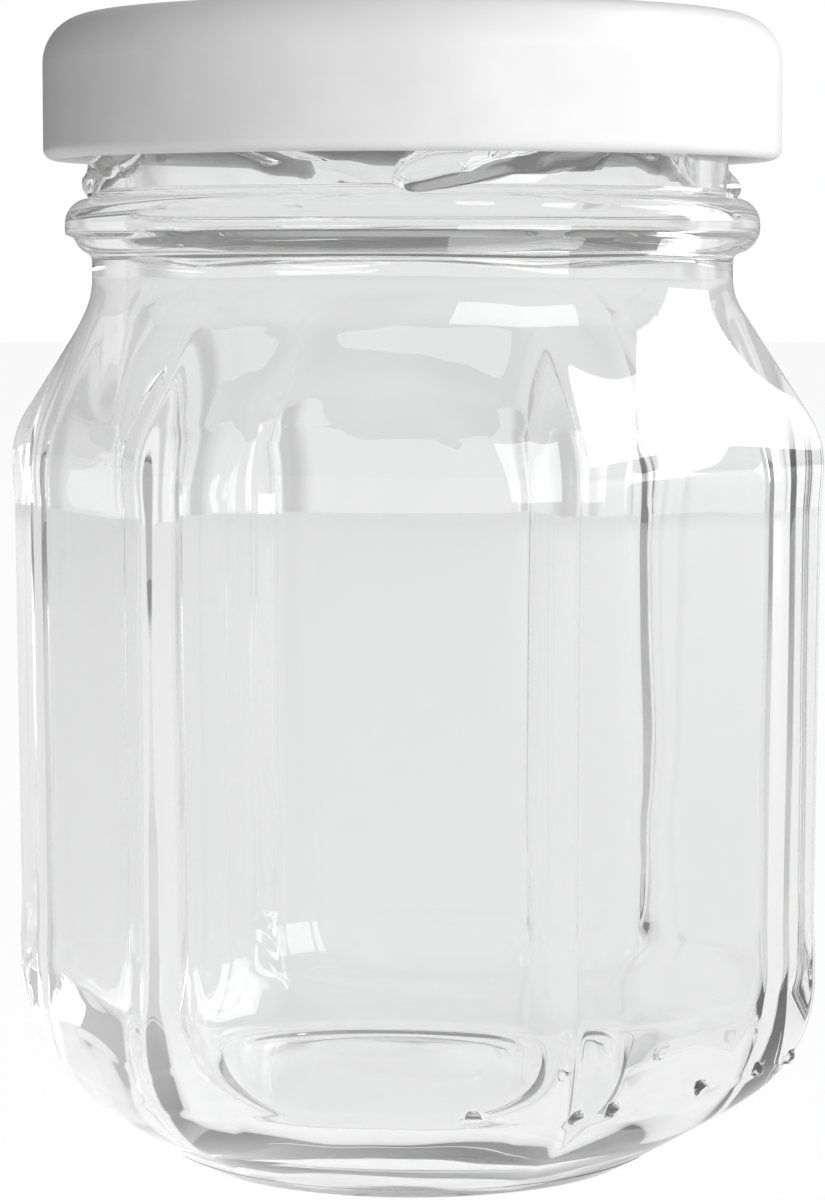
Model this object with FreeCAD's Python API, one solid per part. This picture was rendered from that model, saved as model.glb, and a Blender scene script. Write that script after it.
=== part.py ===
import FreeCAD, Part
import math
import os

# Small hexagonal glass jar with a twist-off lid. Millimetres, +Z up, origin at the bottom centre of the foot.
# One of the six flat panels faces -Y. Upright outlines are drawn as (distance from the axis, height).

# Glass body, outside
panel_count = 6
shoulder_corner_reach = 28.6    # axis to an upright corner where the shoulder starts
heel_corner_reach = 28.2        # the same where the heel starts, so the sides draw in a little
corner_round = 1.2              # plan radius of the upright corners
shoulder_height = 50.4          # where wall and shoulder would meet without their rounding
shoulder_round = 6.2
neck_base_height = 60.2         # where shoulder and neck would meet without their rounding
neck_base_round = 4.0
heel_slope_height = 6.5         # where wall and slanted heel would meet without their rounding
heel_round = 10.0
heel_blend_power = 0.55         # how early the heel turns from hexagon to circle
label_recess = 0.15             # how far the label panels stand back
label_bottom = 14.5
label_top = 48.0
label_ramp = 2.6                # height over which a panel steps back

# Foot and bottom
foot_reach = 17.2
foot_height = 0.9
foot_contact_reach = 15.6       # outer edge of the flat ring that the jar stands on
push_up_reach = 12.8            # inner edge of that ring
push_up_height = 1.3
mould_seam_height = 6.8         # the bottom plate of the mould meets its halves here
mould_seam_step = 0.08
base_thickness = 4.6            # foot plane to the inner floor

# Glass body, inside
panel_thickness = 2.7
inner_corner_round = 11.0
inner_heel_round = 9.0
inner_shoulder_round = 9.0
inner_neck_round = 7.0

# Neck finish
bore_reach = 19.9
neck_reach = 22.2
finish_reach = 21.85            # the wall above the bead, which carries the threads
rim_height = 78.0
rim_outer_round = 0.9
rim_inner_round = 0.6
bead_reach = 24.05
bead_bottom = 63.0
bead_top = 66.8
bead_round = 1.75
bead_root_round = 0.5

# Threads: short ramps that rise to the right
thread_leads = 4
thread_crest_reach = 22.85
thread_width = 1.25
thread_start_angle = -82.0
thread_start_height = 67.45
thread_rise = 5.6               # height gained over thread_span
thread_span = 58.0
thread_stations = 13
thread_root_depth = 0.5         # how far the ridge is rooted in the wall

# Mould code: raised dots on the heel, just above the seam of the bottom plate
dot_radius = 0.62
dot_proud = 0.42
dot_height = 7.5
dot_first_angle = -73.0
dot_pitch = 3.55
dot_places = (0, 4, 6, 12, 17, 20)

# Lid: lacquered tin plate
lid_reach = 25.5
lid_top = 79.3
lid_bottom = 69.4
plate_thickness = 0.24
lid_shoulder_round = 3.3
lid_panel_reach = 18.2
lid_panel_drop = 0.9
lid_panel_bend = 0.8
lid_curl_radius = 0.8           # outer radius of the rolled bottom edge
lid_curl_turn = 300.0
lug_span = 17.0
lug_reach = 22.35               # lugs hook under the thread ridges, clear of the finish wall
lug_height = 1.1
lug_clearance = 0.1             # between a lug and the thread ridge above it

# Sealing ring, moulded into the lid
seal_inner_reach = 19.5
seal_outer_reach = 22.1

half_turn = math.pi / panel_count       # from a corner to the middle of a panel
flat_share = 0.98                       # a section this close to a circle still has six short flats
neck_lap = 1.5                          # how far the cavity runs up into the round bore
bore_step = 0.06                        # the cavity ends this much inside the bore, in a fine ledge
bore_overlap = 0.7                      # how far the bore reaches down past the cavity's end


def upright(reach, height, angle=0.0):
    turn = math.radians(angle)
    return FreeCAD.Vector(reach * math.cos(turn), reach * math.sin(turn), height)


def outline(corners):
    # An upright path through corners (reach, height, rounding), each rounded by an arc that runs tangent.
    places = [upright(reach, height) for reach, height, rounding in corners]
    edges = []
    last = places[0]
    for index in range(1, len(corners) - 1):
        before = (places[index - 1] - places[index]).normalize()
        after = (places[index + 1] - places[index]).normalize()
        half_angle = before.getAngle(after) / 2
        rounding = corners[index][2]
        start = places[index] + before * (rounding / math.tan(half_angle))
        end = places[index] + after * (rounding / math.tan(half_angle))
        middle_line = (before + after).normalize()
        centre = places[index] + middle_line * (rounding / math.sin(half_angle))
        if last.distanceToPoint(start) > 1e-6:
            edges.append(Part.LineSegment(last, start).toShape())
        edges.append(Part.Arc(start, centre - middle_line * rounding, end).toShape())
        last = end
    edges.append(Part.LineSegment(last, places[-1]).toShape())
    return edges


def turned(edges):
    # A solid of revolution from an upright outline that starts and ends on the axis.
    start = edges[0].firstVertex().Point
    end = edges[-1].lastVertex().Point
    closing = Part.LineSegment(end, start).toShape()
    face = Part.Face(Part.Wire(edges + [closing]))
    return face.revolve(upright(0, 0), FreeCAD.Vector(0, 0, 1), 360)


def reach_at(edges, height):
    # How far an upright outline reaches at a height.
    points = []
    for edge in edges:
        points.extend(edge.discretize(Number=80))
    for low, high in zip(points, points[1:]):
        bottom, top = sorted((low.z, high.z))
        if bottom <= height <= top and top - bottom > 1e-9:
            share = (height - low.z) / (high.z - low.z)
            return low.x + share * (high.x - low.x)
    nearest = min(points, key=lambda place: abs(place.z - height))
    return nearest.x


def polar(reach, turn, height):
    return FreeCAD.Vector(reach * math.cos(turn), reach * math.sin(turn), height)


def hexagon_share(turn, corner_reach, rounding):
    # Reach of a rounded hexagon at an angle from its nearest corner, as a share of its corner reach.
    centre_reach = corner_reach - rounding
    arc_end = math.atan2(rounding * math.sin(half_turn), centre_reach + rounding * math.cos(half_turn))
    if turn < arc_end:
        offset = centre_reach * math.sin(turn)
        return (centre_reach * math.cos(turn) + math.sqrt(rounding ** 2 - offset ** 2)) / corner_reach
    flat_reach = centre_reach * math.cos(half_turn) + rounding
    return flat_reach / math.cos(half_turn - turn) / corner_reach


def blended_hexagon(corner_reach, rounding, roundness, height, wall_reach):
    # A level section between the wall's hexagon, at roundness 0, and a circle, at roundness 1.
    arc_end = math.atan2(rounding * math.sin(half_turn),
                         wall_reach - rounding + rounding * math.cos(half_turn))

    def place(corner, swing):
        shape = hexagon_share(abs(swing), wall_reach, rounding)
        return polar(corner_reach * ((1 - roundness) * shape + roundness), corner + swing, height)

    edges = []
    for index in range(panel_count):
        corner = 2 * half_turn * index
        edges.append(Part.Arc(place(corner, -arc_end), place(corner, 0), place(corner, arc_end)).toShape())
        start = place(corner, arc_end)
        middle = place(corner, half_turn)
        end = place(corner + 2 * half_turn, -arc_end)
        if roundness < 1e-4:
            edges.append(Part.LineSegment(start, end).toShape())
        else:
            edges.append(Part.Arc(start, middle, end).toShape())
    return Part.Wire(edges)


def rounded_hexagon(corner_reach, rounding, height):
    # A level hexagon with corners on the X axis, by the reach of its rounded corners.
    return blended_hexagon(corner_reach, rounding, 0.0, height, corner_reach)


def panel_to_corner(panel_reach, rounding):
    return (panel_reach - rounding) / math.cos(half_turn) + rounding


def eased(share):
    share = min(max(share, 0.0), 1.0)
    return share * share * (3 - 2 * share)


def spread(start, end, count):
    return [start + (end - start) * index / (count - 1) for index in range(count)]


def blended_rounding(corner_reach, wall_reach, round_reach, wall_rounding, power):
    # Plan rounding that grows from the wall's own to a full circle as the section draws in.
    share = (wall_reach - corner_reach) / (wall_reach - round_reach)
    share = min(max(share, 0.0), 1.0) ** power
    return wall_rounding + (flat_share * corner_reach - wall_rounding) * share


heel_lean = math.atan2(heel_corner_reach - foot_reach, heel_slope_height - foot_height)
heel_tangent = heel_round * math.tan(heel_lean / 2)
wall_bottom = heel_slope_height + heel_tangent
shoulder_lean = math.atan2(shoulder_corner_reach - neck_reach, neck_base_height - shoulder_height)
shoulder_tangent = shoulder_round * math.tan(shoulder_lean / 2)
wall_top = shoulder_height - shoulder_tangent
outer_corners = outline([
    (foot_reach, foot_height, 0),
    (heel_corner_reach, heel_slope_height, heel_round),
    (shoulder_corner_reach, shoulder_height, shoulder_round),
    (neck_reach, neck_base_height, neck_base_round),
    (neck_reach, bead_bottom, 0),
])


def outer_section(height, step_back=0.0):
    # The creases of the wall fade out into the round neck above and the round foot below.
    reach = reach_at(outer_corners, height)
    wall_reach = reach
    roundness = 0.0
    if height > wall_top:
        wall_reach = reach_at(outer_corners, wall_top)
        roundness = max(wall_reach - reach, 0.0) / (wall_reach - neck_reach) * neck_reach / reach
    elif height < wall_bottom:
        wall_reach = reach_at(outer_corners, wall_bottom)
        roundness = (max(wall_reach - reach, 0.0) / (wall_reach - foot_reach)) ** heel_blend_power
    in_panel = eased((height - label_bottom) / label_ramp) * eased((label_top - height) / label_ramp)
    back = step_back + label_recess * in_panel
    return blended_hexagon(reach - back, corner_round, roundness, height, wall_reach)


def stacked(sections):
    return Part.makeLoft(sections, True, False)


def lofted_zones(section, zones):
    # One smooth loft between each two marks, joined end to end, so that a curve never disturbs a straight wall.
    lofts = []
    for (bottom, count), upper_zone in zip(zones, zones[1:]):
        sections = [section(height) for height in spread(bottom, upper_zone[0], count)]
        lofts.append(Part.makeLoft(sections, True, count == 2))
    return lofts[0].fuse(lofts[1:])


def make_body():
    neck_tangent = neck_base_round * math.tan(shoulder_lean / 2)
    upper = lofted_zones(outer_section, [
        (mould_seam_height, 6),
        (wall_bottom, 2),
        (label_bottom, 5),
        (label_bottom + label_ramp, 2),
        (label_top - label_ramp, 5),
        (label_top, 2),
        (wall_top, 6),
        (shoulder_height + shoulder_tangent * math.cos(shoulder_lean), 6),
        (neck_base_height - neck_tangent * math.cos(shoulder_lean), 5),
        (neck_base_height + neck_tangent, 0),
    ])
    lower_heights = spread(foot_height, mould_seam_height, 8)
    lower = stacked([outer_section(height, mould_seam_step) for height in lower_heights])
    return upper.fuse(lower)


def make_foot():
    rise = foot_height
    run = foot_reach - foot_contact_reach
    sweep = (rise * rise + run * run) / (2 * rise)
    half_chord = math.atan2(rise, run)
    middle = upright(foot_contact_reach + sweep * math.sin(half_chord), sweep * (1 - math.cos(half_chord)))
    inside_heel = foot_height + 1.0
    edges = [
        Part.LineSegment(upright(0, 0), upright(foot_contact_reach, 0)).toShape(),
        Part.Arc(upright(foot_contact_reach, 0), middle, upright(foot_reach, foot_height)).toShape(),
        Part.LineSegment(upright(foot_reach, foot_height), upright(foot_reach, inside_heel)).toShape(),
        Part.LineSegment(upright(foot_reach, inside_heel), upright(0, inside_heel)).toShape(),
    ]
    return turned(edges)


def make_push_up():
    below = -1.0
    rise = Part.Arc(upright(push_up_reach, 0), upright(push_up_reach * 0.55, push_up_height * 0.8),
                    upright(0, push_up_height)).toShape()
    edges = [
        Part.LineSegment(upright(0, below), upright(push_up_reach, below)).toShape(),
        Part.LineSegment(upright(push_up_reach, below), upright(push_up_reach, 0)).toShape(),
        rise,
    ]
    return turned(edges)


def make_neck():
    inside_shoulder = neck_base_height - 1.5
    return turned(outline([
        (0, inside_shoulder, 0),
        (neck_reach - 0.6, inside_shoulder, 0.3),
        (neck_reach, neck_base_height, 0.3),
        (neck_reach, bead_bottom, bead_root_round),
        (bead_reach, bead_bottom, bead_round),
        (bead_reach, bead_top, bead_round),
        (finish_reach, bead_top, bead_root_round),
        (finish_reach, rim_height, rim_outer_round),
        (0, rim_height, 0),
    ]))


def thread_section(share, angle):
    # The ridge swells quickly from a small rounded start to its full height, and fades out the same way.
    swell = math.sqrt(max(1 - (2 * abs(share - 0.5)) ** 8, 0.05))
    height = thread_start_height + thread_rise * share
    crest = finish_reach + (thread_crest_reach - finish_reach) * swell
    half_width = thread_width / 2 * (0.45 + 0.55 * swell) + thread_root_depth / 2
    root = finish_reach - thread_root_depth
    low = upright(root, height - half_width, angle)
    high = upright(root, height + half_width, angle)
    ridge = Part.Arc(low, upright(crest, height, angle), high).toShape()
    return Part.Wire([ridge, Part.LineSegment(high, low).toShape()])


def make_thread(lead):
    start_angle = thread_start_angle + 360.0 / thread_leads * lead
    shares = spread(0.0, 1.0, thread_stations)
    return stacked([thread_section(share, start_angle + thread_span * share) for share in shares])


def make_dot(place):
    angle = dot_first_angle + dot_pitch * place
    section = outer_section(dot_height)
    ray = Part.LineSegment(upright(0, dot_height), upright(2 * shoulder_corner_reach, dot_height, angle)).toShape()
    surface = section.distToShape(ray)[1][0][0]
    reach = math.hypot(surface.x, surface.y)
    centre = upright(reach + dot_proud - dot_radius, dot_height, angle)
    return Part.makeSphere(dot_radius, centre, upright(1, 0, angle))


def make_cavity():
    wall_corner = panel_to_corner(
        (shoulder_corner_reach - corner_round) * math.cos(half_turn) + corner_round - panel_thickness,
        inner_corner_round)
    draw_in = shoulder_corner_reach - heel_corner_reach
    slope_lift = panel_thickness / 2
    neck_top = neck_base_height + neck_lap
    corners = outline([
        (wall_corner - draw_in - inner_heel_round * 1.25, base_thickness, 0),
        (wall_corner - draw_in, base_thickness, inner_heel_round),
        (wall_corner, shoulder_height - slope_lift, inner_shoulder_round),
        (bore_reach - bore_step, neck_base_height - slope_lift, inner_neck_round),
        (bore_reach - bore_step, rim_height, 0),
    ])
    wall_bottom = base_thickness + inner_heel_round
    lean = math.atan2(wall_corner - bore_reach + bore_step, neck_base_height - shoulder_height)
    shoulder_tangent = inner_shoulder_round * math.tan(lean / 2)
    neck_tangent = inner_neck_round * math.tan(lean / 2)

    def section(height):
        reach = reach_at(corners, height)
        if height > shoulder_height / 2:
            rounding = blended_rounding(reach, wall_corner, bore_reach, inner_corner_round, 1)
        else:
            rounding = blended_rounding(reach, wall_corner - draw_in, wall_corner - draw_in - inner_heel_round,
                                        inner_corner_round, 1)
        return rounded_hexagon(reach, rounding, height)

    heel_heights = [base_thickness + inner_heel_round * (1 - math.cos(angle))
                    for angle in spread(0, math.pi / 2, 8)]
    heel = stacked([section(height) for height in heel_heights])
    upper = lofted_zones(section, [
        (wall_bottom, 2),
        (shoulder_height - slope_lift - shoulder_tangent, 6),
        (shoulder_height - slope_lift + shoulder_tangent * math.cos(lean), 4),
        (neck_base_height - slope_lift - neck_tangent * math.cos(lean), 6),
        (neck_base_height - slope_lift + neck_tangent, 2),
        (neck_top, 0),
    ])
    return upper.fuse(heel), neck_top


def make_bore(bottom):
    edges = [
        Part.LineSegment(upright(0, bottom), upright(bore_reach, bottom)).toShape(),
        Part.LineSegment(upright(bore_reach, bottom), upright(bore_reach, rim_height - rim_inner_round)).toShape(),
        Part.Arc(upright(bore_reach, rim_height - rim_inner_round),
                 upright(bore_reach + rim_inner_round * (1 - math.cos(math.pi / 4)),
                         rim_height - rim_inner_round * (1 - math.sin(math.pi / 4))),
                 upright(bore_reach + rim_inner_round, rim_height)).toShape(),
        Part.LineSegment(upright(bore_reach + rim_inner_round, rim_height),
                         upright(bore_reach + rim_inner_round, rim_height + 1)).toShape(),
        Part.LineSegment(upright(bore_reach + rim_inner_round, rim_height + 1),
                         upright(0, rim_height + 1)).toShape(),
    ]
    return turned(edges)


def make_jar():
    jar = make_body().fuse([make_foot(), make_neck()])
    jar = jar.fuse([make_thread(lead) for lead in range(thread_leads)])
    jar = jar.fuse([make_dot(place) for place in dot_places])
    cavity, neck_top = make_cavity()
    jar = jar.cut(cavity)
    jar = jar.cut(make_bore(neck_top - bore_overlap))
    return jar.cut(make_push_up())


def make_plate():
    curl_height = lid_bottom + lid_curl_radius
    curl_reach = lid_reach - lid_curl_radius
    edges = outline([
        (0, lid_top - lid_panel_drop, 0),
        (lid_panel_reach, lid_top - lid_panel_drop, lid_panel_bend),
        (lid_panel_reach + lid_panel_drop, lid_top, lid_panel_bend),
        (lid_reach, lid_top, lid_shoulder_round),
        (lid_reach, curl_height, 0),
    ])
    half_curl = math.radians(lid_curl_turn / 2)
    curl_points = []
    for turn in (0, half_curl, 2 * half_curl):
        curl_points.append(upright(curl_reach + lid_curl_radius * math.cos(turn),
                                   curl_height - lid_curl_radius * math.sin(turn)))
    edges.append(Part.Arc(*curl_points).toShape())
    skin = Part.Shell(Part.Wire(edges).revolve(upright(0, 0), FreeCAD.Vector(0, 0, 1), 360).Faces)
    return skin.makeOffsetShape(plate_thickness, 1e-4, fill=True)


def make_lug(lead):
    # Part of the rolled edge pressed inwards, to hook under a thread ridge.
    low = lid_bottom + (2 * lid_curl_radius - lug_height) / 2
    outer = lid_reach - 2 * lid_curl_radius + plate_thickness
    section = Part.Wire(outline([
        (outer, low, 0),
        (lug_reach, low, lug_height * 0.45),
        (lug_reach, low + lug_height, lug_height * 0.45),
        (outer, low + lug_height, 0),
    ]) + [Part.LineSegment(upright(outer, low + lug_height), upright(outer, low)).toShape()])
    lug = Part.Face(section).revolve(upright(0, 0), FreeCAD.Vector(0, 0, 1), lug_span)
    ridge_height = low + lug_height + lug_clearance + (thread_width + thread_root_depth) / 2
    share = (ridge_height - thread_start_height) / thread_rise
    turn = thread_start_angle + thread_span * share + 360.0 / thread_leads * lead
    lug.rotate(upright(0, 0), FreeCAD.Vector(0, 0, 1), turn)
    return lug


def make_lid():
    lid = make_plate().fuse([make_lug(lead) for lead in range(thread_leads)])
    return lid


def make_seal():
    # It fills the space between the land of the rim and the underside of the plate.
    top = lid_top - plate_thickness
    middle = (seal_inner_reach + seal_outer_reach) / 2
    ring = Part.Face(Part.Wire([
        Part.LineSegment(upright(seal_inner_reach, top), upright(seal_inner_reach, rim_height)).toShape(),
        Part.LineSegment(upright(seal_inner_reach, rim_height), upright(seal_outer_reach, rim_height)).toShape(),
        Part.LineSegment(upright(seal_outer_reach, rim_height), upright(seal_outer_reach, top)).toShape(),
        Part.LineSegment(upright(seal_outer_reach, top), upright(seal_inner_reach, top)).toShape(),
    ]))
    return ring.revolve(upright(0, 0), FreeCAD.Vector(0, 0, 1), 360)


def export(name, shape):
    solid = shape.Solids[0]
    print(name, solid.isValid(), len(shape.Solids), "solids", round(solid.Volume), "cubic mm")
    solid.exportStep("parts/" + name + ".step")


os.makedirs("parts", exist_ok=True)
export("jar", make_jar())
export("lid", make_lid())
export("seal", make_seal())
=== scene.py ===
import bpy
import bmesh
import math
from mathutils import Matrix, Vector, noise


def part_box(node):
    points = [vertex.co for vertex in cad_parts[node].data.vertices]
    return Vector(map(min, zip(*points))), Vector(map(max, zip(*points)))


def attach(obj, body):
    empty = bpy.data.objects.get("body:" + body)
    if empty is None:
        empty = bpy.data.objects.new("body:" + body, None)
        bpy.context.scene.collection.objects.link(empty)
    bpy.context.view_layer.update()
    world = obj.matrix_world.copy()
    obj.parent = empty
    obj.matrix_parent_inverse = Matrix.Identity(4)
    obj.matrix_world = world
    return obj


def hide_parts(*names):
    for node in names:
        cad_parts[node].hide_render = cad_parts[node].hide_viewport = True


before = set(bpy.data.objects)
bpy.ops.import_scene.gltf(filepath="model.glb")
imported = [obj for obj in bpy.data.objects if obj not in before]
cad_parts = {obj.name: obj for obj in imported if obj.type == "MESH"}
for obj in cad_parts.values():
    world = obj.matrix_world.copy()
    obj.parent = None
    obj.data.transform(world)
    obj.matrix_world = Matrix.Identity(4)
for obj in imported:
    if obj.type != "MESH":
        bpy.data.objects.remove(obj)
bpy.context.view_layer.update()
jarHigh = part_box("jar")[1]
mm = 0.001
tiny = 1e-6
footSlack = 0.01
panels = 6
print("frame loaded")


def deselectAll():
    if bpy.context.object and bpy.context.object.mode != 'OBJECT':
        bpy.ops.object.mode_set(mode='OBJECT')
    bpy.ops.object.select_all(action='DESELECT')


def arcPoints(start, corner, end, radius, count):
    # rounded corner of an outline: the arc that touches both sides
    before = (start - corner).normalized()
    after = (end - corner).normalized()
    half = before.angle(after) / 2
    middle = (before + after).normalized()
    centre = corner + middle * (radius / math.sin(half))
    reachIn = radius / math.tan(half)
    first = corner + before * reachIn - centre
    last = corner + after * reachIn - centre
    turn = first.angle_signed(last)
    return [centre + Matrix.Rotation(-turn * step / count, 2) @ first for step in range(count + 1)]


def roundedOutline(corners, spacing):
    # corners are (reach, height, rounding, arc steps); straight runs are divided by spacing
    places = [Vector((reach, height)) for reach, height, *rest in corners]
    points = [places[0]]
    for index in range(1, len(corners) - 1):
        radius, steps = corners[index][2:4]
        if radius:
            arc = arcPoints(places[index - 1], places[index], places[index + 1], radius, steps)
        else:
            arc = [places[index]]
        points.extend(divided(points[-1], arc[0], spacing))
        points.extend(arc[1:] if (points[-1] - arc[0]).length < tiny else arc)
    points.extend(divided(points[-1], places[-1], spacing))
    return points


def divided(start, end, spacing):
    length = (end - start).length
    if length < tiny:
        return []
    count = max(1, round(length / spacing))
    return [start.lerp(end, step / count) for step in range(1, count + 1)]


def spunFrom(points, name, steps):
    # an open outline of (reach, height) turned round the upright axis
    deselectAll()
    bpy.ops.mesh.primitive_circle_add(vertices=len(points), radius=1)
    piece = bpy.context.object
    piece.name = name
    for vertex, point in zip(piece.data.vertices, points):
        vertex.co = (point.x, 0, point.y)
    bpy.ops.object.mode_set(mode='EDIT')
    mesh = bmesh.from_edit_mesh(piece.data)
    mesh.edges.ensure_lookup_table()
    bpy.ops.mesh.select_all(action='DESELECT')
    mesh.verts.ensure_lookup_table()
    ends = {mesh.verts[0], mesh.verts[len(points) - 1]}
    for edge in mesh.edges:
        if set(edge.verts) == ends:
            edge.select_set(True)
    bmesh.update_edit_mesh(piece.data)
    bpy.ops.mesh.delete(type='EDGE')
    bpy.ops.mesh.select_all(action='SELECT')
    bpy.ops.mesh.spin(steps=steps, angle=2 * math.pi, center=(0, 0, 0), axis=(0, 0, 1))
    bpy.ops.mesh.select_all(action='SELECT')
    bpy.ops.mesh.remove_doubles(threshold=tiny / 10)
    bpy.ops.mesh.normals_make_consistent(inside=False)
    bpy.ops.object.mode_set(mode='OBJECT')
    return piece


def smoothStep(share):
    share = min(max(share, 0.0), 1.0)
    return share * share * (3 - 2 * share)


# sizes of the glass jar in mm, reaches measured from its axis
jarShape = {
    "cornerRound": 1.2, "heelCornerReach": 28.2, "shoulderHeight": 50.4, "shoulderRound": 6.2,
    "neckReach": 22.2, "neckHeight": 60.2, "neckRound": 4.0,
    "heelSlopeHeight": 6.5, "heelRound": 10.0, "heelBlendPower": 0.55,
    "labelRecess": 0.15, "labelBottom": 14.5, "labelTop": 48.0, "labelRamp": 2.6,
    "footReach": 17.2, "footHeight": 0.9, "footRound": 0.35,
    "contactReach": 15.6, "contactRound": 1.4,
    "pushUpReach": 12.8, "pushUpHeight": 1.3, "pushUpRound": 9.0,
    "pushUpMidReach": 0.55, "pushUpMidHeight": 0.8,
    "seamHeight": 6.8, "seamStep": 0.08,
    "baseThickness": 4.6, "baseCrown": 0.25, "panelThickness": 2.7, "innerCornerRound": 8.0,
    "innerNeckLift": 3.0,
    "innerHeelRound": 9.0, "innerShoulderRound": 9.0, "innerNeckRound": 7.0,
    "boreReach": 19.9, "finishReach": 21.85, "rimOuterRound": 0.9, "rimInnerRound": 0.6,
    "rimFlatFrom": 1.5,
    "beadReach": 24.05, "beadBottom": 63.0, "beadTop": 66.8, "beadRound": 1.75, "beadRoot": 0.5,
    "threadLeads": 4, "threadProud": 1.0, "threadWidth": 1.25, "threadStartAngle": -82.0,
    "threadStartHeight": 67.45, "threadRise": 5.6, "threadSpan": 58.0, "threadEdge": 0.12,
    "threadCrown": 0.75, "threadZoneTop": 75.2, "threadZoneMargin": 1.6, "threadZoneSlack": 0.1,
    "dotRadius": 0.62, "dotProud": 0.42, "dotHeight": 7.5, "dotFirstAngle": -73.0, "dotPitch": 3.55,
    "dotPlaces": (0, 4, 6, 12, 17, 20), "dotTilt": (0.3, 0.4, 0.2),
    "dotSegments": 20, "dotRings": 12,
    "waveDepth": 0.10, "waveScale": 1.7, "waveHeight": 26.0, "waveFadeReach": 12.0,
    "columns": 240, "cornerCrowding": 0.84,
    "crowdingAbove": 1.5, "crowdingBelow": 1.0, "crowdingRamp": 6.0,
    "outsideSpacing": 0.9, "insideSpacing": 1.6, "threadSpacing": 0.16,
}


def hexReach(cornerReach, rounding, angle):
    # how far a level rounded hexagon reaches in a direction, corners at 0, 60, ... degrees
    half = math.pi / panels
    angle = abs((angle + half) % (2 * half) - half)
    centre = cornerReach - rounding
    # the corner's arc, then the flat
    crossing = math.atan2(rounding * math.sin(half), centre + rounding * math.cos(half))
    if angle <= crossing:
        offset = centre * math.sin(angle)
        return centre * math.cos(angle) + math.sqrt(max(rounding ** 2 - offset ** 2, 0))
    panelReach = centre * math.cos(half) + rounding
    return panelReach / math.cos(half - angle)


def makeJar():
    s = jarShape
    cornerReach = jarHigh.x / mm
    rim = jarHigh.z / mm
    half = math.pi / panels
    panelReach = (cornerReach - s["cornerRound"]) * math.cos(half) + s["cornerRound"]
    innerCorner = ((panelReach - s["panelThickness"] - s["innerCornerRound"]) / math.cos(half)
                   + s["innerCornerRound"])
    drawIn = cornerReach - s["heelCornerReach"]
    lift = s["panelThickness"] / 2
    rimFlat = s["boreReach"] + s["rimInnerRound"] * s["rimFlatFrom"]
    outside = roundedOutline([
        (0, s["pushUpHeight"], 0, 0),
        (s["pushUpReach"] * s["pushUpMidReach"], s["pushUpHeight"] * s["pushUpMidHeight"],
         s["pushUpRound"], 6),
        (s["pushUpReach"], 0, 0, 0),
        (s["contactReach"], 0, s["contactRound"], 8),
        (s["footReach"], s["footHeight"], s["footRound"], 5),
        (s["heelCornerReach"], s["heelSlopeHeight"], s["heelRound"], 30),
        (cornerReach, s["shoulderHeight"], s["shoulderRound"], 20),
        (s["neckReach"], s["neckHeight"], s["neckRound"], 12),
        (s["neckReach"], s["beadBottom"], s["beadRoot"], 5),
        (s["beadReach"], s["beadBottom"], s["beadRound"], 12),
        (s["beadReach"], s["beadTop"], s["beadRound"], 12),
        (s["finishReach"], s["beadTop"], s["beadRoot"], 5),
        (s["finishReach"], s["threadZoneTop"], 0, 0),
        (s["finishReach"], rim, s["rimOuterRound"], 7),
        (rimFlat, rim, 0, 0),
    ], s["outsideSpacing"])
    inside = roundedOutline([
        (rimFlat, rim, 0, 0),
        (s["boreReach"], rim, s["rimInnerRound"], 5),
        (s["boreReach"], s["neckHeight"] - lift, s["innerNeckRound"], 14),
        (innerCorner, s["shoulderHeight"] - lift, s["innerShoulderRound"], 18),
        (innerCorner - drawIn, s["baseThickness"], s["innerHeelRound"], 30),
        (0, s["baseThickness"] + s["baseCrown"], 0, 0),
    ], s["insideSpacing"])
    outside = finerThreadZone(outside, s)
    profile = outside + inside[1:]
    jar = spunFrom(profile, "jarGlass", s["columns"])
    shapePlan(jar, len(outside), profile, s, cornerReach, innerCorner, drawIn)
    addMouldDots(jar, s, cornerReach)
    for polygon in jar.data.polygons:
        polygon.use_smooth = True
    return jar


def finerThreadZone(points, s):
    # the finish wall gets close rings, to carry the thread ridges
    bottom = s["beadTop"] + s["beadRoot"]
    top = s["threadStartHeight"] + s["threadRise"] + s["threadZoneMargin"]
    result = []
    for point, following in zip(points, points[1:] + [None]):
        result.append(point)
        if following is None:
            continue
        upright = all(abs(end.x - s["finishReach"]) < tiny for end in (point, following))
        if upright and bottom - s["threadZoneSlack"] <= point.y < top:
            result.extend(divided(point, following, s["threadSpacing"])[:-1])
    return result


def planRounding(reach, wallReach, roundReach, wallRounding):
    share = min(max((wallReach - reach) / (wallReach - roundReach), 0.0), 1.0)
    return wallRounding + (reach - wallRounding) * share


def shapePlan(jar, outsideCount, profile, s, cornerReach, innerCorner, drawIn):
    # the turned form is pressed into a hexagon below the neck, and threads are raised on its finish
    lookup = {}
    for index, point in enumerate(profile):
        lookup[(round(point.x, 4), round(point.y, 4))] = index < outsideCount
    for vertex in jar.data.vertices:
        reach = math.hypot(vertex.co.x, vertex.co.y)
        height = vertex.co.z
        if reach < tiny:
            continue
        angle = math.atan2(vertex.co.y, vertex.co.x)
        outer = lookup.get((round(reach, 4), round(height, 4)))
        if outer is None:
            outer = nearestSide(reach, height, profile, outsideCount)
        crowd = smoothStep((s["neckHeight"] + s["crowdingAbove"] - height) / s["crowdingRamp"])
        crowd *= smoothStep((height + s["crowdingBelow"]) / s["crowdingRamp"])
        angle -= s["cornerCrowding"] * crowd * math.sin(panels * angle) / panels
        if outer:
            reach = outerReach(reach, height, angle, s, cornerReach)
        else:
            reach = innerReach(reach, height, angle, s, innerCorner, drawIn)
        vertex.co = (reach * math.cos(angle), reach * math.sin(angle), height)
    jar.data.transform(Matrix.Scale(mm, 4))


def nearestSide(reach, height, profile, outsideCount):
    place = Vector((reach, height))
    best = min(range(len(profile)), key=lambda index: (profile[index] - place).length_squared)
    return best < outsideCount


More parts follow.
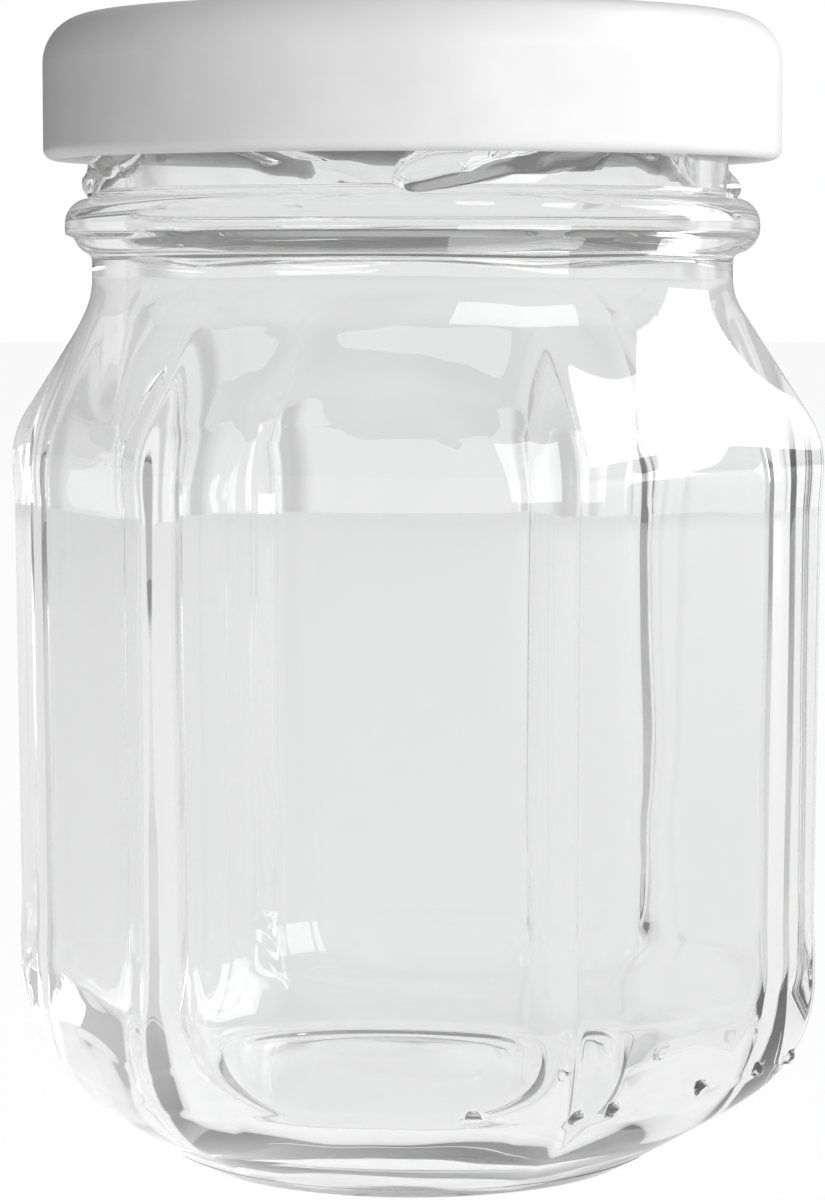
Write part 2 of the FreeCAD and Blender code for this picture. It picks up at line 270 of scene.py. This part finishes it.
def wallEnds(s, cornerReach):
    # heights at which the upright wall ends below and above, and how far its corners reach there
    heelLean = math.atan2(s["heelCornerReach"] - s["footReach"],
                          s["heelSlopeHeight"] - s["footHeight"])
    shoulderLean = math.atan2(cornerReach - s["neckReach"], s["neckHeight"] - s["shoulderHeight"])
    bottom = s["heelSlopeHeight"] + s["heelRound"] * math.tan(heelLean / 2)
    top = s["shoulderHeight"] - s["shoulderRound"] * math.tan(shoulderLean / 2)
    rise = s["shoulderHeight"] - s["heelSlopeHeight"]
    perHeight = (cornerReach - s["heelCornerReach"]) / rise
    return (bottom, s["heelCornerReach"] + perHeight * (bottom - s["heelSlopeHeight"]),
            top, s["heelCornerReach"] + perHeight * (top - s["heelSlopeHeight"]))


def outerReach(reach, height, angle, s, cornerReach):
    # the creases of the wall fade out into the round neck above and the round foot below
    if height > s["neckHeight"] + s["neckRound"]:
        return reach + threadProud(height, angle, s)
    if height < s["footHeight"] + tiny and reach <= s["footReach"] + footSlack:
        return reach
    bottom, bottomReach, top, topReach = wallEnds(s, cornerReach)
    wallReach, roundness = reach, 0.0
    if height > top:
        wallReach = topReach
        roundness = max(topReach - reach, 0) / (topReach - s["neckReach"]) * s["neckReach"] / reach
    elif height < bottom:
        wallReach = bottomReach
        drawn = max(bottomReach - reach, 0) / (bottomReach - s["footReach"])
        roundness = min(drawn, 1) ** s["heelBlendPower"]
    inPanel = smoothStep((height - s["labelBottom"]) / s["labelRamp"])
    inPanel *= smoothStep((s["labelTop"] - height) / s["labelRamp"])
    back = s["labelRecess"] * inPanel
    if height < s["seamHeight"]:
        back += s["seamStep"]
    share = hexReach(wallReach, s["cornerRound"], angle) / wallReach
    return (reach - back) * ((1 - roundness) * share + roundness)


def innerReach(reach, height, angle, s, innerCorner, drawIn):
    if height > s["neckHeight"] + s["innerNeckLift"]:
        return reach
    if height > s["shoulderHeight"] / 2:
        rounding = planRounding(reach, innerCorner, s["boreReach"], s["innerCornerRound"])
    else:
        wall = innerCorner - drawIn
        rounding = planRounding(reach, wall, wall - s["innerHeelRound"], s["innerCornerRound"])
    place = Vector((math.cos(angle), math.sin(angle), height / s["waveHeight"])) * s["waveScale"]
    wave = noise.noise(place) * s["waveDepth"] * smoothStep(reach / s["waveFadeReach"])
    return hexReach(reach, rounding, angle) + wave


def threadProud(height, angle, s):
    # how far a thread stands out, by the distance from its middle line in the unrolled wall
    proud = 0.0
    rise, span = s["threadRise"], math.radians(s["threadSpan"]) * s["finishReach"]
    length = math.hypot(rise, span)
    for lead in range(s["threadLeads"]):
        start = math.radians(s["threadStartAngle"] + 360 / s["threadLeads"] * lead)
        along = ((angle - start + math.pi) % (2 * math.pi) - math.pi) * s["finishReach"]
        up = height - s["threadStartHeight"]
        run = min(max((along * span + up * rise) / length, 0.0), length)
        across = math.hypot(along - run * span / length, up - run * rise / length)
        share = across / (s["threadWidth"] / 2 + s["threadEdge"])
        if share < 1:
            proud = max(proud, s["threadProud"] * (1 - share ** 2) ** s["threadCrown"])
    return proud


def addMouldDots(jar, s, cornerReach):
    # raised dots on the heel, joined to the glass so that no face is left inside it
    bottom = wallEnds(s, cornerReach)[0]
    centreReach = s["heelCornerReach"] - s["heelRound"]
    reach = centreReach + math.sqrt(s["heelRound"] ** 2 - (bottom - s["dotHeight"]) ** 2)
    for place in s["dotPlaces"]:
        angle = math.radians(s["dotFirstAngle"] + s["dotPitch"] * place)
        wall = outerReach(reach, s["dotHeight"], angle, s, cornerReach)
        out = wall + s["dotProud"] - s["dotRadius"]
        deselectAll()
        centre = Vector((out * math.cos(angle), out * math.sin(angle), s["dotHeight"])) * mm
        bpy.ops.mesh.primitive_uv_sphere_add(segments=s["dotSegments"], ring_count=s["dotRings"],
                                             radius=s["dotRadius"] * mm, location=centre,
                                             rotation=s["dotTilt"])
        dot = bpy.context.object
        deselectAll()
        jar.select_set(True)
        bpy.context.view_layer.objects.active = jar
        join = jar.modifiers.new("dot", 'BOOLEAN')
        join.operation = 'UNION'
        join.solver = 'EXACT'
        join.object = dot
        bpy.ops.object.modifier_apply(modifier="dot")
        bpy.data.objects.remove(dot)


def newMaterial(name):
    material = bpy.data.materials.new(name)
    material.use_nodes = True
    nodes = material.node_tree.nodes
    return material, nodes, material.node_tree.links, nodes["Principled BSDF"]


def mathNode(nodes, links, operation, *values):
    node = nodes.new("ShaderNodeMath")
    node.operation = operation
    for index, value in enumerate(values):
        if isinstance(value, (int, float)):
            node.inputs[index].default_value = value
        else:
            links.new(value, node.inputs[index])
    return node.outputs["Value"]


glassLook = {"tint": (0.915, 0.917, 0.917, 1), "ior": 1.52, "rippleStrength": 0.05,
             "rippleSize": 70.0, "rippleDetail": 1.0, "rippleDepth": 0.001,
             "passesAfter": 9, "mirrorsUpTo": 3}


def glassMaterial():
    material, nodes, links, surface = newMaterial("jarGlassClear")
    surface.inputs["Base Color"].default_value = glassLook["tint"]
    surface.inputs["Transmission Weight"].default_value = 1.0
    surface.inputs["Roughness"].default_value = 0.0
    surface.inputs["IOR"].default_value = glassLook["ior"]
    coordinates = nodes.new("ShaderNodeTexCoord")
    ripple = nodes.new("ShaderNodeTexNoise")
    ripple.inputs["Scale"].default_value = glassLook["rippleSize"]
    ripple.inputs["Detail"].default_value = glassLook["rippleDetail"]
    bump = nodes.new("ShaderNodeBump")
    bump.inputs["Strength"].default_value = glassLook["rippleStrength"]
    bump.inputs["Distance"].default_value = glassLook["rippleDepth"]
    links.new(coordinates.outputs["Object"], ripple.inputs["Vector"])
    links.new(ripple.outputs["Fac"], bump.inputs["Height"])
    links.new(bump.outputs["Normal"], surface.inputs["Normal"])
    path = nodes.new("ShaderNodeLightPath")
    clear = nodes.new("ShaderNodeBsdfTransparent")
    mix = nodes.new("ShaderNodeMixShader")
    # light caught in the thick base gets out again, and lamps shine through
    trapped = mathNode(nodes, links, 'GREATER_THAN', path.outputs["Ray Depth"],
                       glassLook["passesAfter"])
    mirrored = mathNode(nodes, links, 'GREATER_THAN', path.outputs["Glossy Depth"],
                        glassLook["mirrorsUpTo"])
    escapes = mathNode(nodes, links, 'MAXIMUM', trapped, mirrored)
    passes = mathNode(nodes, links, 'MAXIMUM', path.outputs["Is Shadow Ray"], escapes)
    links.new(passes, mix.inputs["Fac"])
    links.new(surface.outputs["BSDF"], mix.inputs[1])
    links.new(clear.outputs["BSDF"], mix.inputs[2])
    links.new(mix.outputs["Shader"], nodes["Material Output"].inputs["Surface"])
    return material


coatingLook = {"depth": 0.0005, "grainLow": 0.35, "grainHigh": 0.65}


def coatingGroup():
    # slight unevenness and mottling of a coated or moulded surface
    group = bpy.data.node_groups.new("unevenCoating", 'ShaderNodeTree')
    for name in ("Size", "Detail", "Strength"):
        group.interface.new_socket(name, in_out='INPUT', socket_type='NodeSocketFloat')
    for name in ("Darker", "Lighter"):
        group.interface.new_socket(name, in_out='INPUT', socket_type='NodeSocketColor')
    group.interface.new_socket("Color", in_out='OUTPUT', socket_type='NodeSocketColor')
    group.interface.new_socket("Normal", in_out='OUTPUT', socket_type='NodeSocketVector')
    nodes, links = group.nodes, group.links
    given = nodes.new("NodeGroupInput")
    made = nodes.new("NodeGroupOutput")
    coordinates = nodes.new("ShaderNodeTexCoord")
    grain = nodes.new("ShaderNodeTexNoise")
    links.new(coordinates.outputs["Object"], grain.inputs["Vector"])
    links.new(given.outputs["Size"], grain.inputs["Scale"])
    links.new(given.outputs["Detail"], grain.inputs["Detail"])
    bump = nodes.new("ShaderNodeBump")
    bump.inputs["Distance"].default_value = coatingLook["depth"]
    links.new(given.outputs["Strength"], bump.inputs["Strength"])
    links.new(grain.outputs["Fac"], bump.inputs["Height"])
    share = nodes.new("ShaderNodeMapRange")
    share.inputs["From Min"].default_value = coatingLook["grainLow"]
    share.inputs["From Max"].default_value = coatingLook["grainHigh"]
    links.new(grain.outputs["Fac"], share.inputs["Value"])
    tone = nodes.new("ShaderNodeMix")
    tone.data_type = 'RGBA'
    links.new(share.outputs["Result"], tone.inputs["Factor"])
    links.new(given.outputs["Darker"], tone.inputs[6])       # colour A
    links.new(given.outputs["Lighter"], tone.inputs[7])      # colour B
    links.new(tone.outputs[2], made.inputs["Color"])         # colour result
    links.new(bump.outputs["Normal"], made.inputs["Normal"])
    return group


def coatedWith(nodes, links, surface, group, look):
    coating = nodes.new("ShaderNodeGroup")
    coating.node_tree = group
    for name in ("Size", "Detail", "Strength"):
        coating.inputs[name].default_value = look[name.lower()]
    for name in ("Darker", "Lighter"):
        coating.inputs[name].default_value = (*look[name.lower()], 1)
    links.new(coating.outputs["Color"], surface.inputs["Base Color"])
    links.new(coating.outputs["Normal"], surface.inputs["Normal"])


lidLook = {"darker": (0.80, 0.80, 0.80), "lighter": (0.84, 0.84, 0.84), "roughness": 0.32,
           "coat": 0.45, "coatRoughness": 0.2, "size": 160.0, "strength": 0.03, "detail": 2.0}


def lidMaterial(coating):
    material, nodes, links, surface = newMaterial("lidLacquer")
    surface.inputs["Roughness"].default_value = lidLook["roughness"]
    surface.inputs["Coat Weight"].default_value = lidLook["coat"]
    surface.inputs["Coat Roughness"].default_value = lidLook["coatRoughness"]
    coatedWith(nodes, links, surface, coating, lidLook)
    return material


sealLook = {"darker": (0.76, 0.76, 0.73), "lighter": (0.82, 0.82, 0.79), "roughness": 0.55,
            "size": 420.0, "strength": 0.12, "detail": 4.0}


def sealMaterial(coating):
    material, nodes, links, surface = newMaterial("sealCompound")
    surface.inputs["Roughness"].default_value = sealLook["roughness"]
    coatedWith(nodes, links, surface, coating, sealLook)
    return material


stageLook = {
    "cameraTurn": -82.0, "cameraDistance": 0.275, "cameraHeight": 0.0621, "cameraPitch": 4.83,
    "lens": 118.3,
    "clipNear": 0.01, "clipFar": 20.0,
    "floorReach": 3.0, "floorSteps": 96, "floorGap": 0.00005, "floorTone": (0.9, 0.9, 0.9, 1),
    "floorRoughness": 0.9, "floorGlow": 0.93, "floorThrough": 0.82,
    "ambient": 0.30, "cards": 8.0, "cardEdge": -0.35, "cardDark": 0.72, "cardPhase": -86.0,
    "steepFrom": 0.30, "steepTo": 0.65, "steepDark": 0.04,
    "glossFrom": -0.6, "glossTo": 0.8, "glossLeft": 0.12, "glossRight": 0.6, "lampAim": 0.55,
}

# lamps by turn to the right of the camera, height angle, distance, width, height and brightness
lampLook = {"window": (115, 28, 0.9, 0.46, 0.74, 5.0), "fill": (38, 18, 1.1, 0.90, 0.60, 5.0)}


def ranged(nodes, links, value, fromLow, fromHigh, toLow, toHigh):
    node = nodes.new("ShaderNodeMapRange")
    node.interpolation_type = 'SMOOTHSTEP'
    for index, part in enumerate((fromLow, fromHigh, toLow, toHigh), start=1):
        node.inputs[index].default_value = part
    links.new(value, node.inputs["Value"])
    return node.outputs["Result"]


def makeWorld():
    # bright all round behind the glass, a little darker every 45 degrees, and dark above and below
    world = bpy.data.worlds.new("studio")
    bpy.context.scene.world = world
    world.use_nodes = True
    nodes, links = world.node_tree.nodes, world.node_tree.links
    background = nodes["Background"]
    coordinates = nodes.new("ShaderNodeTexCoord")
    split = nodes.new("ShaderNodeSeparateXYZ")
    links.new(coordinates.outputs["Generated"], split.inputs["Vector"])
    turn = mathNode(nodes, links, 'ARCTAN2', split.outputs["Y"], split.outputs["X"])
    away = mathNode(nodes, links, 'SUBTRACT', turn, math.radians(stageLook["cardPhase"]))
    swing = mathNode(nodes, links, 'MULTIPLY', away, stageLook["cards"])
    beat = mathNode(nodes, links, 'COSINE', swing)
    sectors = ranged(nodes, links, beat, -1.0, stageLook["cardEdge"], stageLook["cardDark"], 1.0)
    steep = mathNode(nodes, links, 'ABSOLUTE', split.outputs["Z"])
    level = ranged(nodes, links, steep, stageLook["steepFrom"], stageLook["steepTo"],
                   1.0, stageLook["steepDark"])
    through = mathNode(nodes, links, 'MULTIPLY', sectors, level)
    right = math.radians(stageLook["cameraTurn"] + 90)
    acrossX = mathNode(nodes, links, 'MULTIPLY', split.outputs["X"], math.cos(right))
    acrossY = mathNode(nodes, links, 'MULTIPLY', split.outputs["Y"], math.sin(right))
    side = mathNode(nodes, links, 'ADD', acrossX, acrossY)
    mirrored = ranged(nodes, links, side, stageLook["glossFrom"], stageLook["glossTo"],
                      stageLook["glossLeft"], stageLook["glossRight"])
    path = nodes.new("ShaderNodeLightPath")
    tone = stageLook["ambient"]
    views = (("Is Glossy Ray", mirrored), ("Is Transmission Ray", through), ("Is Camera Ray", 1.0))
    for mask, seen in views:
        mix = nodes.new("ShaderNodeMix")
        links.new(path.outputs[mask], mix.inputs["Factor"])
        for socket, value in (("A", tone), ("B", seen)):
            if isinstance(value, float):
                mix.inputs[socket].default_value = value
            else:
                links.new(value, mix.inputs[socket])
        tone = mix.outputs["Result"]
    background.inputs["Color"].default_value = (1, 1, 1, 1)
    links.new(tone, background.inputs["Strength"])


def makeFloor():
    deselectAll()
    bpy.ops.mesh.primitive_circle_add(vertices=stageLook["floorSteps"],
                                      radius=stageLook["floorReach"], fill_type='NGON')
    floor = bpy.context.object
    floor.name = "floor"
    floor.data.transform(Matrix.Translation((0, 0, -stageLook["floorGap"])))
    material, nodes, links, surface = newMaterial("paleFloor")
    surface.inputs["Base Color"].default_value = stageLook["floorTone"]
    surface.inputs["Roughness"].default_value = stageLook["floorRoughness"]
    surface.inputs["Specular IOR Level"].default_value = 0.0
    glow = nodes.new("ShaderNodeEmission")
    glow.inputs["Color"].default_value = (1, 1, 1, 1)
    path = nodes.new("ShaderNodeLightPath")
    direct = mathNode(nodes, links, 'MULTIPLY', path.outputs["Is Camera Ray"],
                      stageLook["floorGlow"])
    through = mathNode(nodes, links, 'MULTIPLY', path.outputs["Is Transmission Ray"],
                       stageLook["floorThrough"])
    share = mathNode(nodes, links, 'MAXIMUM', direct, through)
    mix = nodes.new("ShaderNodeMixShader")
    links.new(share, mix.inputs["Fac"])
    links.new(surface.outputs["BSDF"], mix.inputs[1])
    links.new(glow.outputs["Emission"], mix.inputs[2])
    links.new(mix.outputs["Shader"], nodes["Material Output"].inputs["Surface"])
    floor.data.materials.append(material)


def makeLamps():
    middle = Vector((0, 0, jarHigh.z * stageLook["lampAim"]))
    for name, (swing, lift, distance, width, height, brightness) in lampLook.items():
        turn = math.radians(stageLook["cameraTurn"] + swing)
        rise = math.radians(lift)
        data = bpy.data.lights.new(name, 'AREA')
        data.shape = 'RECTANGLE'
        data.size = width
        data.size_y = height
        data.energy = brightness * math.pi * width * height
        lamp = bpy.data.objects.new(name, data)
        bpy.context.scene.collection.objects.link(lamp)
        level = math.cos(rise)
        out = Vector((math.cos(turn) * level, math.sin(turn) * level, math.sin(rise)))
        lamp.location = middle + out * distance
        lamp.rotation_euler = (-out).to_track_quat('-Z', 'Y').to_euler()
        lamp.visible_glossy = name == "window"


def makeCamera():
    turn = math.radians(stageLook["cameraTurn"])
    data = bpy.data.cameras.new("camera")
    camera = bpy.data.objects.new("camera", data)
    bpy.context.scene.collection.objects.link(camera)
    camera.location = (stageLook["cameraDistance"] * math.cos(turn),
                       stageLook["cameraDistance"] * math.sin(turn), stageLook["cameraHeight"])
    camera.rotation_euler = (math.radians(90 - stageLook["cameraPitch"]), 0, turn + math.pi / 2)
    data.lens = stageLook["lens"]
    data.clip_start = stageLook["clipNear"]
    data.clip_end = stageLook["clipFar"]
    bpy.context.scene.camera = camera


jar = makeJar()
jar.data.materials.clear()
jar.data.materials.append(glassMaterial())
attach(jar, "root")
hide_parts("jar")
print("jar modelled", len(jar.data.polygons))
coating = coatingGroup()
for node, material in (("lid", lidMaterial(coating)), ("seal", sealMaterial(coating))):
    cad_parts[node].data.materials.clear()
    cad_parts[node].data.materials.append(material)
makeWorld()
makeFloor()
makeLamps()
makeCamera()
print("stage lit")
view = bpy.context.scene.view_settings
view.view_transform = 'Standard'
